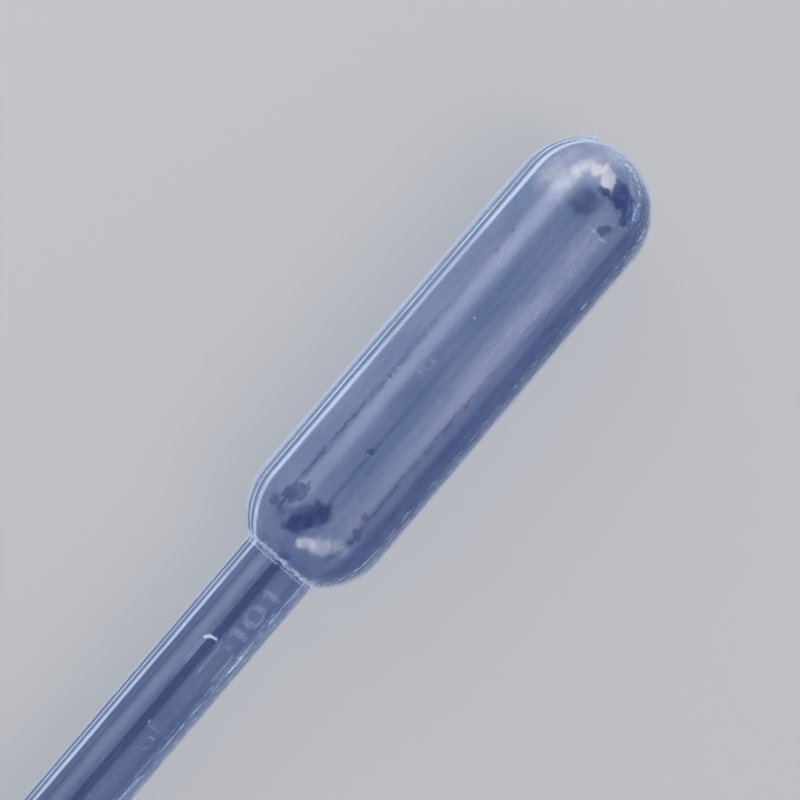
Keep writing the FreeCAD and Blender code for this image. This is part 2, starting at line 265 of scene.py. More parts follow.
class Writing:
    """A line of figures on the upper half-face, upright when the bulb is up."""

    tallest, margin = 4.2, 0.45

    def __init__(self, text, height, proud, half_stroke, gap=0.5, scale=1.0, shift=0.0, white=1.0):
        self.height, self.proud, self.half_stroke = height, proud, half_stroke
        self.scale, self.shift, self.white = scale, shift, white
        self.length = sum(FIGURES[each][0] for each in text) + gap * (len(text) - 1)
        self.marks = []
        pen = -self.length / 2
        for each in text:
            width, strokes = FIGURES[each]
            self.marks += [(pen, stroke) for stroke in strokes]
            pen += width + gap

    def spans(self, across, height):
        """Is this place near the line of figures?"""
        wide = self.length * self.scale / 2 + self.margin
        top = self.height + self.tallest * self.scale
        return abs(across - self.shift) < wide and self.height - self.margin < height < top

    def on_line(self, across, height):
        """A place on the stem, as the strokes measure it."""
        return Vector((across - self.shift, height - self.height)) / self.scale

    def rise(self, across, height):
        """How far the surface stands proud here."""
        place = self.on_line(across, height)
        near = min(stroke(place - Vector((pen, 0))) for pen, stroke in self.marks) * self.scale
        return self.proud * (1 - smooth(near / self.half_stroke))


class WritingAlong(Writing):
    """Figures turned to read along the stem, and drawn broad."""

    half_tall, half_margin, broad = 1.6, 0.5, 1.9

    def spans(self, across, height):
        half_long = self.length * self.scale * self.broad / 2 + self.half_margin
        return abs(across) < self.half_tall and abs(height - self.height) < half_long

    def on_line(self, across, height):
        along, up = (height - self.height) / self.broad, 0.9 * self.scale - (across - self.shift)
        return Vector((along, up)) / self.scale


writings = [
    Writing("ml", neck_z - 11.3, proud=0.14, half_stroke=0.2, gap=0.75, shift=-0.25, white=0.55),
    WritingAlong("101", neck_z - 4.9, proud=0.12, half_stroke=0.14, scale=0.8),
]
for number, height in enumerate(ridge_heights, start=1):
    millilitres = f"{number / 2:g}"
    writings.append(
        Writing(millilitres, height - 2.75, proud=0.08, half_stroke=0.15, gap=0.35, scale=0.95, white=0.35)
    )

tail_angle, weld_end = radians(34), radians(-84)


def crown_angle(co):
    """In the parting plane, the angle from the crown towards the torn tail's side."""
    return atan2(co.y, co.z - upper_dome_z)


def on_marked_stem(co):
    return stem_z < co.z < neck_z - 0.4


def in_fine_work(face):
    """Does this face of the outside need finer columns and rows, for a ridge, a figure or the torn tail?"""
    middle = face.calc_center_median()
    if any(vertex[inner_wall] for vertex in face.verts):
        return False
    if middle.z > upper_dome_z:
        return abs(middle.x) < 0.3 and abs(crown_angle(middle) - tail_angle) < radians(6)
    if not on_marked_stem(middle):
        return False
    near_ridge = any(abs(middle.z - height) < 0.65 for height in ridge_heights)
    if near_ridge and off_middle(middle) < ridge_half_sweep + 0.09:
        return True
    return any(writing.spans(around(middle) * stem_radius, middle.z) for writing in writings)


# finer rows come first, then finer columns, and the new points are set back on the round
for rows, cuts in ((True, 13), (False, 1)):
    fine = [face for face in shell.faces if in_fine_work(face)]
    lines = {edge for face in fine for edge in face.edges}
    lines = [edge for edge in shell.edges if edge in lines]
    chosen = [edge for edge in lines if (abs(edge.verts[0].co.z - edge.verts[1].co.z) > 1e-4) == rows]
    bmesh.ops.subdivide_edges(shell, edges=chosen, cuts=cuts, use_grid_fill=True)
for vertex in shell.verts:
    if vertex[inner_wall]:
        continue
    if stem_z < vertex.co.z < round_z:
        radius = hypot(vertex.co.x, vertex.co.y)
        vertex.co.x *= stem_radius / radius
        vertex.co.y *= stem_radius / radius
    elif vertex.co.z > upper_dome_z:
        centre = Vector((0, 0, upper_dome_z))
        vertex.co = centre + (vertex.co - centre).normalized() * bulb_radius


# ---- What the moulding leaves in the surface ----
# The two mould halves leave a fine flash where they meet. Inside the crown the pinched tube is welded
# into a beaded seam, and outside it the tail was torn off. The drawn tube's wall is not quite even,
# and the die leaves faint lengthwise lines in it.

# how far beside the parting plane the mould halves' edges bore on the soft plastic, as shares of the radius
seam_steps = (0.115, 0.245)
flash_half_width, weld_half_width = 0.085, 0.42
weld_depth = 0.31
# along the seam from the tail's middle, across it, how tall, and the lean
tail_threads = [(-0.34, 0.03, 0.62, 0.9), (-0.05, -0.04, 0.3, -0.8), (0.27, 0.0, 0.46, 1.4)]
# where, reach, how much thicker the wall is there
wall_lumps = [
    ((-4.7, 3.4, 156.2), 1.5, 0.12), ((-6.0, 1.1, 155.0), 1.2, -0.1), ((-5.8, 2.9, 153.4), 1.3, 0.08),
    ((-5.8, 1.2, 116.6), 1.2, 0.12), ((-4.2, 4.9, 118.0), 1.0, -0.1), ((-5.8, 2.8, 118.5), 1.0, -0.08),
]


def unevenness(co, grain_around, grain_along, seed):
    """Between -1 and 1, and smooth. The grains are in mm, round the pipette and along it."""
    return noise.noise(
        Vector((co.x / grain_around + seed, co.y / grain_around - seed, co.z / grain_along + 7.3 * seed))
    )


def facing(co):
    """Which way the wall faces: out from the pipette's line, or from the middle of a dome."""
    if co.z > upper_dome_z:
        return Vector((co.x, co.y, co.z - upper_dome_z)).normalized()
    if round_z < co.z < lower_dome_z:
        return Vector((co.x, co.y, co.z - lower_dome_z)).normalized()
    return Vector((co.x, co.y, 0)).normalized()


def bulb_share(co):
    """From 0 on the stem to 1 on the bulb."""
    return smooth((co.z - neck_z + 1) / 4)


def off_seam(co):
    """How far a place is from the parting plane, as a share of the radius."""
    if co.z > upper_dome_z:
        return co.x / bulb_radius
    return co.x / max(hypot(co.x, co.y), 1e-6)


def flash(co):
    """Worn in places, and one mould half stood a little lower than the other."""
    worn = 0.72 + 0.28 * unevenness(co, 3.0, 1.3, 2.0)
    mismatch = 0.014 * smooth((co.x + 0.25) / 0.5) if abs(co.x) < 2 else 0.0
    return flash_height * worn * exp(-((co.x / flash_half_width) ** 2)) - mismatch


def seam_lines(co):
    """Fine steps beside the flash."""
    lines = sum(exp(-(((abs(off_seam(co)) - step) / 0.016) ** 2)) for step in seam_steps)
    return 0.02 * lines * (0.7 + 0.3 * unevenness(co, 2.0, 4.0, 14.0))


def torn_tail(co):
    """Ragged threads stand out of a low ridge."""
    along = (crown_angle(co) - tail_angle) * bulb_radius
    ridge = 0.1 * (1 - smooth((along / 0.45) ** 2)) * (1 - smooth(abs(co.x) / 0.16))
    threads = [
        tall * (1 - smooth(abs(along - at - lean * co.x) / 0.11)) * (1 - smooth(abs(co.x - side) / 0.14))
        for at, side, tall, lean in tail_threads
    ]
    return max(ridge, *threads)


def weld(co):
    """The beaded seam stands in from the inside of the crown, and fades out down one side."""
    run = (tail_angle - crown_angle(co)) / (tail_angle - weld_end)
    if not 0 < run < 1:
        return 0.0
    beads = 0.78 + 0.22 * sin(run * 61 + 2.0 * sin(run * 17)) + 0.25 * unevenness(co, 0.7, 0.7, 8.0)
    depth = weld_depth * smooth(run / 0.05) * smooth((1 - run) / 0.55) ** 0.7
    return depth * beads * exp(-((co.x / weld_half_width) ** 2))


def lumps(co):
    """The pinched tube leaves the wall of both domes lumpy."""
    thicker = 0.0
    for where, reach, thickness in wall_lumps:
        away = (co - Vector(where)).length
        if away < reach * 1.6:
            away += 0.5 * unevenness(co, 0.8, 0.8, 15.0)
            thicker += thickness * smooth((reach - away) / 0.45)
    return thicker


def ridge_rise(co, height):
    """A ridge's rounded top, with its ends rounded too."""
    past_end = off_middle(co) - ridge_half_sweep + ridge_half_width / stem_radius
    away = hypot(max(0, past_end * stem_radius), co.z - height)
    return ridge_height * (1 - smooth((away - ridge_half_width * 0.45) / 0.16))


def moulded_rise(co):
    """How far the ridges and figures stand proud here, and how much painted highlight their flanks get."""
    rises = [(0.0, 1.0, 0.0)]
    rises += [(ridge_rise(co, height), ridge_height, 0.7) for height in ridge_heights]
    across = around(co) * stem_radius
    for writing in writings:
        if writing.spans(across, co.z):
            rises.append((writing.rise(across, co.z), writing.proud, writing.white))
    rise, full, white = max(rises)
    return rise, 4 * white * (rise / full) * (1 - rise / full)


def inside_lift(co):
    """How far the bore's wall moves out from its true round, and how strongly the weld shows there."""
    if co.z < mouth_length + 1:
        return 0.0, 0.0
    in_domes = max(smooth((co.z - upper_dome_z + 1) / 4), smooth((lower_dome_z + 2 - co.z) / 4))
    lift = 0.035 * unevenness(co, 2.4, 22, 1.0) + 0.022 * unevenness(co, 1.3, 3.4, 3.0)
    lift += 0.09 * in_domes * unevenness(co, 1.7, 1.7, 4.0)
    lift = lift * bulb_share(co) + 0.016 * unevenness(co, 1.1, 30, 6.0) - lumps(co)
    if co.z <= upper_dome_z:
        return lift, 0.0
    bead = weld(co)
    return lift - bead, min(2.0, bead * 7)


def outside_lift(co):
    """How far the outside moves out from its true round, and how white it is: torn at the tail, painted
    highlight on flanks.
    """
    sunk = 0.004
    lift = 0.012 * bulb_share(co) * unevenness(co, 2.0, 9, 11.0) + 0.006 * unevenness(co, 0.8, 5, 12.0)
    lift = min(lift, 0) - sunk + max(flash(co), seam_lines(co))
    if co.z > upper_dome_z:
        tail = torn_tail(co)
        return lift + tail, min(2.0, tail * 9)
    if on_marked_stem(co):
        rise, whiteness = moulded_rise(co)
        return max(lift, rise), whiteness
    return lift, 0.0


# what the material reads: each point's place on the true round, which wall it is on, how much the weld and
# the torn tail whitened it, and the painted highlight on the flanks of what stands proud
own_place = shell.verts.layers.float_vector.new("own_place")
painted_layers = {
    name: shell.verts.layers.float.new(name) for name in ("off_seam", "turn", "inside", "worked")
}
rim_height = 0.01
for vertex in shell.verts:
    co = vertex.co.copy()
    vertex[own_place] = co
    vertex[painted_layers["off_seam"]] = off_seam(co) * (0.77 + 0.23 * smooth((co.z - neck_z) / 5))
    vertex[painted_layers["turn"]] = around(co)
    vertex[painted_layers["inside"]] = float(vertex[inner_wall])
    if co.z < rim_height:
        vertex.co.z = 0.002
        continue
    on_the_line = hypot(co.x, co.y) < 1e-4
    if on_the_line:
        continue
    lift, worked = inside_lift(co) if vertex[inner_wall] else outside_lift(co)
    vertex[painted_layers["worked"]] = worked
    vertex.co += facing(co) * lift
    on_thread = lift > 0.15 and not vertex[inner_wall]
    if on_thread:
        vertex.co.y -= 0.7 * lift**2

for edge in shell.edges:
    if all(vertex.co.z < rim_height for vertex in edge.verts):
        edge.smooth = False
bmesh.ops.transform(shell, matrix=standing_to_lying, verts=shell.verts)
bmesh.ops.recalc_face_normals(shell, faces=shell.faces[:])
pipette_mesh = bpy.data.meshes.new("pipette_shell")
shell.to_mesh(pipette_mesh)
shell.free()
for polygon in pipette_mesh.polygons:
    polygon.use_smooth = True
pipette = bpy.data.objects.new("pipette_shell", pipette_mesh)
bpy.context.scene.collection.objects.link(pipette)


# ---- The natural polyethylene ----
# Milky low-density polyethylene with no pigment: light goes through it and is scattered a little on
# the way. Faint die lines run along it, the moulding left whitened lines, and it has picked up fine scuffs
# and specks. Highlights, a paler side and shade in dark streaks and spots are painted into its colour.

# the clear wall is given the deep blue that it shows in cool light over a dark ground
clear_colour, cloudy_colour = (0.35, 0.44, 0.65, 1), (0.5, 0.52, 0.68, 1)
# the colour of the painted shade
painted_shade_colour = (0.035, 0.09, 0.29, 1)
# the whitest colour is taken on by the painted highlights in the domes
milky_colour, whitest_colour = (0.62, 0.75, 1.0, 1), (1.0, 0.94, 0.96, 1)
shadow_tint = (0.90, 0.92, 0.96, 1)

polyethylene = bpy.data.materials.new("natural_polyethylene")
polyethylene.use_nodes = True
nodes, links = polyethylene.node_tree.nodes, polyethylene.node_tree.links
nodes.clear()


def input_of(node, name, source):
    """Feeds an input: from another node's output, or with a plain value."""
    if isinstance(source, bpy.types.NodeSocket):
        links.new(source, node.inputs[name])
    else:
        node.inputs[name].default_value = source


def joined(kind, parts, clamp=False):
    """Two or more values worked together, one after another."""
    total = parts[0]
    for number, part in enumerate(parts[1:], start=2):
        step = nodes.new("ShaderNodeMath")
        step.operation, step.use_clamp = kind, clamp and number == len(parts)
        input_of(step, 0, total)
        input_of(step, 1, part)
        total = step.outputs["Value"]
    return total


def times(*parts):
    return joined("MULTIPLY", parts)


def plus(*parts, clamp=False):
    return joined("ADD", parts, clamp)


def less(whole, part, clamp=False):
    return joined("SUBTRACT", (whole, part), clamp)


def larger(*parts):
    return joined("MAXIMUM", parts)


def unsigned(value):
    step = nodes.new("ShaderNodeMath")
    step.operation = "ABSOLUTE"
    input_of(step, 0, value)
    return step.outputs["Value"]


def spread(source, low, high, to_low=0.0, to_high=1.0):
    """Takes low to to_low and high to to_high, smoothly between."""
    ramp = nodes.new("ShaderNodeMapRange")
    ramp.interpolation_type = "SMOOTHSTEP"
    input_of(ramp, "Value", source)
    for name, value in (("From Min", low), ("From Max", high), ("To Min", to_low), ("To Max", to_high)):
        ramp.inputs[name].default_value = value
    return ramp.outputs["Result"]


def blended(share, first, second):
    """Between two colours, which a Mix node takes on its inputs 6 and 7."""
    mix = nodes.new("ShaderNodeMix")
    mix.data_type = "RGBA"
    for number, source in ((0, share), (6, first), (7, second)):
        input_of(mix, number, source)
    return mix.outputs[2]


def painted(name):
    """A value that the mesh carries."""
    attribute = nodes.new("ShaderNodeAttribute")
    attribute.attribute_name = name
    return attribute.outputs["Fac"]


own = nodes.new("ShaderNodeAttribute")
own.attribute_name = "own_place"
own_parts = nodes.new("ShaderNodeSeparateXYZ")
links.new(own.outputs["Vector"], own_parts.inputs[0])
along_seam, height = own_parts.outputs["Y"], own_parts.outputs["Z"]
turn, from_seam, worked = painted("turn"), painted("off_seam"), painted("worked")
inside = painted("inside")
outside = less(1.0, inside)


def grain(around_mm, along_mm, detail=2.0, roughness=0.5, seed=0.0):
    """Noise with a grain of this size round the pipette and along it."""
    turned = nodes.new("ShaderNodeMapping")
    turned.inputs["Scale"].default_value = (1 / around_mm, 1 / around_mm, 1 / along_mm)
    turned.inputs["Location"].default_value = (seed, 2 * seed, 3 * seed)
    links.new(own.outputs["Vector"], turned.inputs["Vector"])
    noise_node = nodes.new("ShaderNodeTexNoise")
    noise_node.inputs["Scale"].default_value = 1.0
    noise_node.inputs["Detail"].default_value = detail
    noise_node.inputs["Roughness"].default_value = roughness
    links.new(turned.outputs["Vector"], noise_node.inputs["Vector"])
    return noise_node.outputs["Fac"]


# the grains that the marks share
fine_crackle = grain(0.45, 0.6, detail=4.0, roughness=0.6, seed=2.2)
torn_edge = grain(1.0, 1.2, detail=2.5, seed=4.4)
mottle = spread(grain(0.8, 1.1, detail=3.0, seed=9.9), 0.3, 0.62, 0.72, 1.0)
clouds = spread(grain(2.6, 7.0, detail=3.0), 0.35, 0.7)
drawn = spread(grain(0.42, 26.0, detail=4.0, seed=3.1), 0.42, 0.62)
slow = spread(grain(1.2, 9.0, seed=7.1), 0.35, 0.65, 0.45, 1.0)
dashes = spread(grain(0.14, 1.1, detail=3.0, seed=8.8), 0.56, 0.66)


def lines_at(source, places, crackle):
    """Crackled lines where a value passes these places: (where, half width, strength)."""
    source = plus(source, times(less(fine_crackle, 0.5), crackle))
    return plus(*[
        spread(unsigned(less(source, where)), 0.0, half_width, strength, 0.0)
        for where, half_width, strength in places
    ])


def patches(places):
    """Mottled patches with torn edges: (strength, reach, softness, how torn, centres in mm)."""
    shown = []
    for strength, reach, soft, torn, centres in places:
        distances = []
        for centre in centres:
            away = nodes.new("ShaderNodeVectorMath")
            away.operation = "DISTANCE"
            links.new(own.outputs["Vector"], away.inputs[0])
            away.inputs[1].default_value = centre
            distances.append(away.outputs["Value"])
        edge = plus(joined("MINIMUM", distances), times(less(torn_edge, 0.5), 2 * torn))
        shown.append(spread(edge, reach - soft, reach + soft, strength, 0.0))
    return times(larger(*shown), mottle)


# light takes a longer way through the wall where it is seen edge on, and there it looks milkier
slant = nodes.new("ShaderNodeLayerWeight")
slant.inputs["Blend"].default_value = 0.5
edge_on = spread(slant.outputs["Facing"], 0.56, 0.96)
towards_edge = spread(slant.outputs["Facing"], 0.4, 0.8)
rim = spread(slant.outputs["Facing"], 0.72, 0.82, 0.0, 0.8)

on_bulb = spread(height, neck_z + 0.3, neck_z + 1.5)
on_stem = less(1.0, on_bulb)
on_seam_half = spread(along_seam, 0.0, 1.0)
in_domes = plus(
    spread(height, lower_dome_z + 2, lower_dome_z - 1),
    spread(height, upper_dome_z - 2, upper_dome_z + 1),
)

# the plastic is stress-whitened along the parting plane and at the neck, and a highlight is painted on the
# flanks of what stands proud
inner_step, outer_step = seam_steps
at_seam = lines_at(from_seam, [
    (outer_step, 0.04, 0.6), (inner_step, 0.04, 0.7), (0.045, 0.02, 0.5), (-0.065, 0.042, 1.15),
    (-0.222, 0.07, 1.5),
], crackle=0.014)
beside_seam = spread(unsigned(from_seam), 0.24, 0.28, 0.12, 0.0)
far_side = spread(along_seam, -2.0, -3.5, 1.0, 1.7)
at_neck = lines_at(height, [(neck_z + 0.14, 0.36, 1.0), (neck_z - 0.3, 0.14, 0.6)], crackle=0.6)
at_neck = times(at_neck, spread(grain(0.9, 0.9, detail=3.0, seed=5.1), 0.32, 0.56, 0.3, 1.0))
at_weld = times(worked, spread(fine_crackle, 0.36, 0.56, 0.35, 1.0), inside)
# painted highlight on the flanks of the ridges and figures
at_figures = times(worked, slow, outside, 0.6)
# painted highlight: bright dashes where the wall is seen edge on, along the outline
edge_highlight_dashes = times(dashes, towards_edge, 0.6)

# the far side's seam as it shows through the near wall: broken lines in the stem, rubbed ones in the bulb
torn_line = lines_at(turn, [(0.45, 0.04, 1.0), (0.53, 0.025, 0.6), (0.68, 0.02, 0.5)], crackle=0.16)
torn_line = times(torn_line, spread(grain(0.9, 2.4, detail=3.0, seed=1.3), 0.44, 0.52))
beside_line = times(dashes, 0.5, spread(turn, 0.4, 0.55))
seam_through_stem = times(plus(torn_line, beside_line), on_stem, 0.9)
rubbed = lines_at(turn, [
    (0.62, 0.035, 0.75), (0.7, 0.025, 0.6), (0.76, 0.02, 0.6), (0.83, 0.035, 0.75),
], crackle=0.12)
rubbed = times(rubbed, spread(plus(grain(0.3, 1.0, detail=3.0, seed=2.9), times(in_domes, 0.12)), 0.46, 0.56))
seam_through_bulb = times(rubbed, on_bulb, spread(in_domes, 0.0, 1.0, 0.7, 1.0), outside)

# the weld runs over the crown as a line of beads, with a pinched crease below it and milk round it
across_beads = (0.885, -0.408, -0.223)
across_crown = nodes.new("ShaderNodeVectorMath")
across_crown.operation = "DOT_PRODUCT"
links.new(own.outputs["Vector"], across_crown.inputs[0])
across_crown.inputs[1].default_value = across_beads
beads = spread(grain(0.3, 0.3, detail=3.0, roughness=0.6, seed=6.1), 0.44, 0.6, 0.1, 1.0)
bead_line = lines_at(
    across_crown.outputs["Value"], [(-39.33, 0.34, 1.0), (-38.55, 0.12, 0.6), (-38.2, 0.08, 0.5)], crackle=0.7
)
bead_line = times(
    bead_line, beads, spread(along_seam, 3.2, 2.0),
    spread(height, upper_dome_z - 0.3, upper_dome_z + 1.2, 0.0, 0.8),
)
pinch_mark = lines_at(height, [(upper_dome_z - 1.65, 0.12, 0.5)], crackle=1.3)
pinch_mark = times(pinch_mark, spread(turn, -0.2, -0.08), spread(turn, 0.2, 0.08))
crown_milk = times(spread(height, upper_dome_z + 3.8, upper_dome_z + 5.2, 0.0, 0.4), plus(0.4, beads))

# the light that lumps in the domes and the arch of the m catch is painted where it falls
glint = patches([
    (1.0, 0.1, 0.05, 0.15, [
        (-2.92, 2.02, 104.97), (-2.98, 1.93, 105.1), (-3.04, 1.83, 105.22), (-3.1, 1.72, 105.3),
        (-3.17, 1.6, 105.35), (-3.24, 1.46, 105.39), (-3.31, 1.31, 105.4),
    ]),
])
pale_in_crown = [
    (0.9, 0.8, 0.2, 1.0, [(-4.8, 3.4, 156.2), (-5.1, 2.6, 156.5), (-5.55, 2.4, 155.8)]),
    (0.95, 0.85, 0.65, 0.5, [(-4.45, 4.2, 155.7), (-4.6, 3.8, 156.1), (-4.3, 4.6, 154.9)]),
    (0.45, 2.0, 1.3, 0.4, [(-4.4, 3.7, 156.6), (-4.0, 4.6, 155.6), (-3.8, 5.1, 154.0)]),
]
pale_in_lower_dome = [
    (0.8, 0.6, 0.35, 0.8, [(-5.3, 2.04, 116.0), (-5.5, 1.77, 116.25), (-5.7, 1.5, 116.5)]),
    (0.5, 0.8, 0.5, 0.9, [(-5.99, 1.0, 116.8), (-6.1, 0.3, 117.2), (-6.25, -0.4, 117.6)]),
]
pale_patches = patches(pale_in_crown + pale_in_lower_dome)

# the whitening, with painted highlights added in: the glint, the pale patches, the flanks and the dashes
# along the outline
whitened = plus(
    times(plus(times(at_seam, slow), beside_seam), far_side, outside),
    times(at_neck, outside), at_weld, at_figures, edge_highlight_dashes, seam_through_stem, seam_through_bulb,
    bead_line, pinch_mark, crown_milk, times(glint, outside), times(pale_patches, 0.6), clamp=True,
)

# painted shade too: dark streaks down the bulb beside the lamps' highlights, one side of the bulb, and dark
# bands and lines on the stem and between the seam's lines
in_bulb = spread(height, neck_z + 2.0, neck_z + 4.0)
low_down = spread(height, neck_z + 28, neck_z + 18, 0.3, 1.0)
broken = spread(grain(0.4, 0.9, detail=3.0, seed=6.6), 0.4, 0.52, 0.35, 1.0)
# painted shade in streaks down the bulb, beside and between the lamps' highlights
bulb_shade_streaks = lines_at(turn, [(-0.925, 0.07, 1.0), (0.13, 0.07, 1.0), (-0.42, 0.04, 0.32)], crackle=0.1)
bulb_shade_streaks = times(bulb_shade_streaks, broken, low_down, in_bulb)
# the side of the bulb that gets painted shade
one_side = times(
    spread(turn, 0.24, 0.38), spread(turn, 1.5, 1.2),
    spread(grain(0.5, 1.6, detail=4.0, roughness=0.6, seed=3.6), 0.35, 0.6, 1.0, 0.72),
)
shaded_side = times(one_side, on_bulb, spread(turn, 0.45, 0.75, 0.72, 0.95))
# painted shade in lines and bands on the stem, and between the seam's lines
stem_lines = lines_at(turn, [
    (-1.12, 0.03, 0.45), (-1.01, 0.055, 0.6), (-0.9, 0.02, 0.45), (0.6, 0.03, 0.6), (0.74, 0.05, 0.5),
], crackle=0.05)
stem_shade = spread(turn, -0.36, -0.1, 0.14, 0.3)
stem_shade_streak = times(spread(turn, -0.57, -0.52), spread(turn, -0.22, -0.36), 0.75)
between_lines = lines_at(from_seam, [
    (-0.126, 0.022, 1.0), (0.0, 0.02, 0.9), (0.17, 0.035, 0.9),
], crackle=0.014)
between_lines = times(between_lines, on_seam_half)

# painted shade in dark spots, most of them beside the lumps in the two domes, and a few small dark specks
dark_in_crown = [
    (1.0, 0.78, 0.12, 0.7, [
        (-5.75, 1.45, 156.0), (-5.95, 0.6, 156.1), (-6.05, -0.1, 155.8), (-6.25, 0.6, 155.2),
    ]),
    (1.0, 0.72, 0.15, 0.7, [(-6.2, -0.75, 155.1), (-6.3, -1.1, 154.5), (-5.9, 1.9, 155.2)]),
    (0.9, 0.4, 0.15, 0.5, [(-5.88, 2.43, 154.84)]),
    (0.65, 1.3, 0.5, 0.7, [(-5.8, 2.9, 153.2)]),
    (1.0, 0.5, 0.08, 0.3, [(-6.5, 0.02, 152.2), (-6.49, -0.35, 152.65)]),
]
dark_in_lower_dome = [
    (1.0, 0.8, 0.15, 1.2, [(-4.2, 4.9, 118.8), (-4.35, 4.8, 119.4)]),
    (0.7, 0.55, 0.3, 0.8, [(-3.2, 5.35, 117.35), (-4.1, 4.55, 117.0)]),
    (1.0, 1.1, 0.4, 1.1, [(-5.95, 2.6, 118.8), (-5.5, 3.3, 117.8), (-5.3, 3.5, 117.0)]),
    (0.9, 0.5, 0.2, 0.8, [(-4.81, 3.45, 116.46), (-5.22, 2.85, 116.5)]),
    (1.0, 0.36, 0.08, 0.3, [
        (-6.47, -0.61, 119.59), (-6.43, -0.87, 118.7), (-6.42, -1.04, 119.42), (-6.49, -0.38, 121.1),
    ]),
]
dark_specks = [
    (1.0, 0.2, 0.1, 0.3, [
        (-4.06, 5.08, 131.45), (-4.2, 4.96, 131.9), (-5.9, 2.73, 125.5), (-5.85, 2.85, 125.3),
    ]),
    (0.9, 0.2, 0.1, 0.3, [(-3.88, 5.21, 147.5), (-3.97, 5.15, 145.3)]),
    (0.9, 0.22, 0.08, 0.25, [(-3.74, 5.32, 152.34), (-3.4, 5.54, 152.42), (-3.78, 5.29, 152.82)]),
]
# all the painted shade, taken together
dark = larger(
    bulb_shade_streaks, shaded_side, times(larger(stem_shade_streak, stem_lines, stem_shade), on_stem), between_lines,
    patches(dark_in_crown + dark_in_lower_dome + dark_specks),
)

# specks, scuffs and a little frost lie on top
specks = patches([
    (0.6, 0.08, 0.05, 0.1, [(-5.57, 3.35, 139.6), (-5.85, 2.75, 125.1)]),
    (0.45, 0.09, 0.06, 0.15, [
        (-3.95, 5.16, 119.85), (-4.05, 5.08, 119.95), (-4.2, 4.95, 120.0), (-4.33, 4.84, 120.0),
    ]),
])
cross_marks = patches([
    (0.9, 0.3, 0.2, 0.2, [(-4.03, 5.1, 131.2), (-4.03, 5.1, 131.7), (-4.02, 5.11, 132.2)]),
    (0.6, 0.42, 0.3, 0.3, [(-5.4, 3.61, 133.2), (-5.42, 3.58, 133.8), (-5.4, 3.63, 134.4)]),
])
cross_marks = times(cross_marks, spread(grain(0.7, 0.13, seed=5.5), 0.5, 0.62, 0.0, 0.5))
frost = times(one_side, spread(grain(0.2, 0.45, detail=3.0, roughness=0.6, seed=7.7), 0.54, 0.68, 0.0, 0.28))
white = plus(whitened, specks, cross_marks, frost, clamp=True)

# painted light: one side of the bulb is made paler
pale_side = times(spread(turn, -0.85, -1.2, 0.0, 0.13), on_bulb, on_seam_half)
haze = plus(
    times(clouds, 0.06), times(drawn, 0.07), times(fine_crackle, 0.12), pale_side,
    times(edge_on, plus(0.15, times(drawn, 0.35))), rim, times(white, 0.75), clamp=True,
)
milky = plus(white, times(edge_on, 0.9), clamp=True)
colour = blended(times(clouds, 0.3), clear_colour, cloudy_colour)
colour = blended(times(dark, 0.95), colour, painted_shade_colour)
colour = blended(milky, colour, milky_colour)
colour = blended(times(pale_patches, 0.8), colour, whitest_colour)

# ripples in both walls, more in the bore's, and the die's lines over them
ripples = nodes.new("ShaderNodeBump")
ripples.inputs["Distance"].default_value = 0.03 * MM
input_of(ripples, "Strength", spread(inside, 0.0, 1.0, 0.15, 1.0))
input_of(ripples, "Height", grain(0.7, 1.6, detail=3.0, seed=5.7))
die_lines = nodes.new("ShaderNodeBump")
die_lines.inputs["Strength"].default_value = 0.6
die_lines.inputs["Distance"].default_value = 0.01 * MM
input_of(die_lines, "Height", grain(0.28, 20.0, detail=3.0, seed=9.2))
links.new(ripples.outputs["Normal"], die_lines.inputs["Normal"])

satin = spread(grain(1.4, 5.0, detail=4.0, seed=1.9), 0.3, 0.7, 0.18, 0.3)
satin = times(satin, spread(turn, 0.25, 0.1), on_bulb, outside)
plastic = nodes.new("ShaderNodeBsdfPrincipled")
plastic.inputs["IOR"].default_value = 1.51
input_of(plastic, "Base Color", colour)
input_of(plastic, "Transmission Weight", less(0.97, haze, clamp=True))
input_of(plastic, "Roughness", plus(0.04, satin))
input_of(plastic, "Normal", die_lines.outputs["Normal"])

# lamps shine through the wall, so that its shadow is as pale as the real one's
let_through = nodes.new("ShaderNodeBsdfTransparent")
let_through.inputs["Color"].default_value = shadow_tint
rays = nodes.new("ShaderNodeLightPath")
shade = nodes.new("ShaderNodeMixShader")
links.new(larger(rays.outputs["Is Shadow Ray"], rays.outputs["Is Diffuse Ray"]), shade.inputs["Fac"])
links.new(plastic.outputs["BSDF"], shade.inputs[1])
links.new(let_through.outputs["BSDF"], shade.inputs[2])
output = nodes.new("ShaderNodeOutputMaterial")
links.new(shade.outputs["Shader"], output.inputs["Surface"])
pipette_mesh.materials.append(polyethylene)

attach(pipette, "root")
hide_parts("pipette")


# ---- The bench, the lamps and the camera ----
# A plain pale bench, two long soft lamps over it and an even room light. The camera looks down on
# the bulb and the upper stem, past the half-face that carries the graduations.

bench_colour, bench_roughness = (0.66, 0.665, 0.68, 1), 0.75
room_colour, room_strength = (0.95, 0.97, 1.0, 1), 0.52
# the camera's turn about the pipette from over its marked half-face, its drop towards the tip, and its roll
view_turn, view_drop, picture_turn = radians(23), radians(5.1), radians(49.5)
aim_height, aim_aside, camera_distance = 130.9 * MM, 1.2 * MM, 163 * MM

bench_shape = bmesh.new()
bmesh.ops.create_grid(bench_shape, x_segments=1, y_segments=1, size=3.0)
bench_mesh = bpy.data.meshes.new("bench")
bench_shape.to_mesh(bench_mesh)
bench_shape.free()
bench = bpy.data.objects.new("bench", bench_mesh)
bpy.context.scene.collection.objects.link(bench)
bench_top = bpy.data.materials.new("bench_top")
bench_top.use_nodes = True
bench_top.node_tree.nodes["Principled BSDF"].inputs["Base Color"].default_value = bench_colour
bench_top.node_tree.nodes["Principled BSDF"].inputs["Roughness"].default_value = bench_roughness
bench_mesh.materials.append(bench_top)

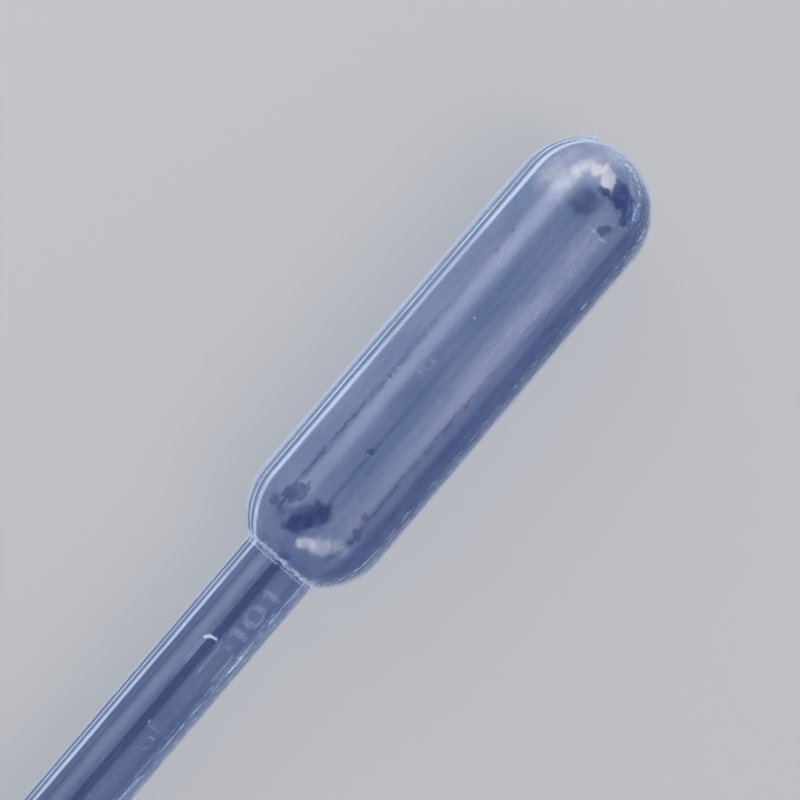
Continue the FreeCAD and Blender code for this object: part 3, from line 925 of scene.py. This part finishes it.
room = bpy.data.worlds.new("room")
room.use_nodes = True
room.node_tree.nodes["Background"].inputs["Color"].default_value = room_colour
room.node_tree.nodes["Background"].inputs["Strength"].default_value = room_strength
bpy.context.scene.world = room

half_face = -low_side
to_camera = (
    cos(view_drop) * (cos(view_turn) * half_face + sin(view_turn) * seam_side) - sin(view_drop) * to_crown
).normalized()
shown_line = (to_crown - to_crown.dot(to_camera) * to_camera).normalized()
shown_side = to_camera.cross(shown_line)
picture_right = cos(picture_turn) * shown_line - sin(picture_turn) * shown_side
picture_up = sin(picture_turn) * shown_line + cos(picture_turn) * shown_side
aim = mouth + to_crown * aim_height + shown_side * aim_aside

camera = bpy.data.objects.new("camera", bpy.data.cameras.new("camera"))
bpy.context.scene.collection.objects.link(camera)
camera.data.lens = 85
camera.data.clip_start = 0.005
camera.matrix_world = (
    Matrix.Translation(aim + to_camera * camera_distance)
    @ Matrix((picture_right, picture_up, to_camera)).transposed().to_4x4()
)
bpy.context.scene.camera = camera

lamp_distance, lamp_length = 360 * MM, 500 * MM


def softbox(name, from_turn, to_turn, power, profile, along_profile, colour=(1, 1, 1)):
    """A long soft lamp parallel to the pipette, between two turns about it from the camera's side.
    The profiles say how bright it is across its width and along its length, from the tip's end."""
    lamp_turn, half = radians(from_turn + to_turn) / 2, radians(to_turn - from_turn) / 2
    data = bpy.data.lights.new(name, "AREA")
    data.shape, data.size, data.size_y = "RECTANGLE", 2 * lamp_distance * tan(half), lamp_length
    data.energy, data.color = power, colour
    data.use_nodes = True
    lamp_nodes, lamp_links = data.node_tree.nodes, data.node_tree.links
    surface = lamp_nodes.new("ShaderNodeNewGeometry")
    split = lamp_nodes.new("ShaderNodeSeparateXYZ")
    lamp_links.new(surface.outputs["Parametric"], split.inputs[0])
    both = lamp_nodes.new("ShaderNodeMath")
    both.operation = "MULTIPLY"
    for number, stops in enumerate((profile, along_profile)):
        ramp = lamp_nodes.new("ShaderNodeValToRGB")
        ramp.color_ramp.interpolation = "EASE"
        while len(ramp.color_ramp.elements) < len(stops):
            ramp.color_ramp.elements.new(0.5)
        for stop, (position, level) in zip(ramp.color_ramp.elements, stops):
            stop.position, stop.color = position, (level, level, level, 1)
        lamp_links.new(split.outputs[number], ramp.inputs[0])
        lamp_links.new(ramp.outputs["Color"], both.inputs[number])
    lamp_links.new(both.outputs[0], lamp_nodes["Emission"].inputs["Strength"])
    lamp = bpy.data.objects.new(name, data)
    bpy.context.scene.collection.objects.link(lamp)
    side = to_crown.cross(to_camera).normalized()
    over = side.cross(to_crown)
    out = cos(lamp_turn) * over + sin(lamp_turn) * side
    lamp.matrix_world = (
        Matrix.Translation(aim + out * lamp_distance)
        @ Matrix((to_crown.cross(out), to_crown, out)).transposed().to_4x4()
    )


softbox(
    "left_softbox", -70, -24, 2.1, [(0.0, 0.0), (0.4, 1.0), (0.6, 0.9), (1.0, 0.0)],
    [(0.0, 0.0), (0.2, 0.22), (0.4, 0.32), (0.55, 0.65), (0.67, 1.0), (0.8, 0.9), (1.0, 0.0)],
)
softbox(
    "right_softbox", 15, 68, 1.9, [(0.0, 0.0), (0.4, 0.85), (0.85, 1.0), (1.0, 0.0)],
    [(0.0, 0.0), (0.2, 0.08), (0.4, 0.12), (0.55, 0.5), (0.63, 1.0), (0.7, 1.0), (0.72, 0.0), (1.0, 0.0)],
    colour=(1.0, 0.94, 0.92),
)

bpy.context.scene.view_settings.view_transform = "Standard"
